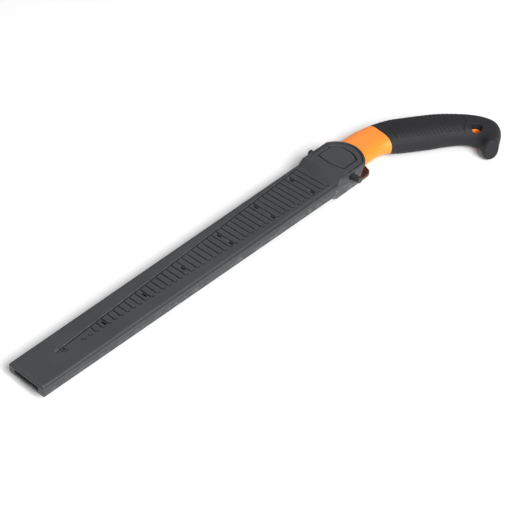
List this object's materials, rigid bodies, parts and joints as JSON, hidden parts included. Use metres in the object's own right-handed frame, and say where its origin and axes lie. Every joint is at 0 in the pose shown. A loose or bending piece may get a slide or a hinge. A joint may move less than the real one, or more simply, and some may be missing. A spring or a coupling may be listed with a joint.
{
  "type": "pruning saw in scabbard",
  "caption": "Fixed-blade pruning saw with a hooked pistol grip, drawn lengthways out of a rigid slotted scabbard that has a raised throat, a cross bolt and a belt clip.",
  "frame": {"origin": "on the flat outer face of the belt clip, midway between its two screws", "axes": "+X along the scabbard towards the handle, +Y towards the blade's spine, +Z out of the scabbard's slotted front face"},
  "size_m": [0.5405, 0.1231, 0.027],
  "materials": {
    "shell_plastic": "satin moulded charcoal plastic",
    "badge_plastic": "smooth charcoal plastic",
    "liner_plastic": "smooth dark red-brown plastic",
    "core_plastic": "satin orange plastic",
    "grip_rubber": "soft black rubber with moulded ribs",
    "blade_steel": "taper-ground steel",
    "screw_steel": "zinc-plated steel",
    "insert_brass": "turned brass"
  },
  "bodies": {
    "scabbard": {"front_shell": "shell_plastic", "back_shell": "shell_plastic", "badge_plate": "badge_plastic", "mouth_liner": "liner_plastic", "belt_clip": "shell_plastic", "clip_screw_1": "screw_steel", "clip_screw_2": "screw_steel", "shell_screw_1": "screw_steel", "shell_screw_2": "screw_steel", "shell_screw_3": "screw_steel", "shell_screw_4": "screw_steel", "shell_screw_5": "screw_steel", "shell_screw_6": "screw_steel", "shell_screw_7": "screw_steel", "shell_screw_8": "screw_steel"},
    "lock": {"lock_bolt": "badge_plastic"},
    "saw": {"saw_blade": "blade_steel", "handle_core": "core_plastic", "grip_overmould": "grip_rubber", "tang_screw_1": "screw_steel", "tang_screw_2": "screw_steel", "tang_insert_1": "insert_brass", "tang_insert_2": "insert_brass"}
  },
  "joints": [
    {"name": "saw_draw", "type": "slide", "parent": "scabbard", "child": "saw", "axis": [1, 0, 0], "range_m": [0, 0.4]},
    {"name": "lock_push", "type": "slide", "parent": "scabbard", "child": "lock", "axis": [0, 1, 0], "range_m": [0, 0.0045]}
  ]
}
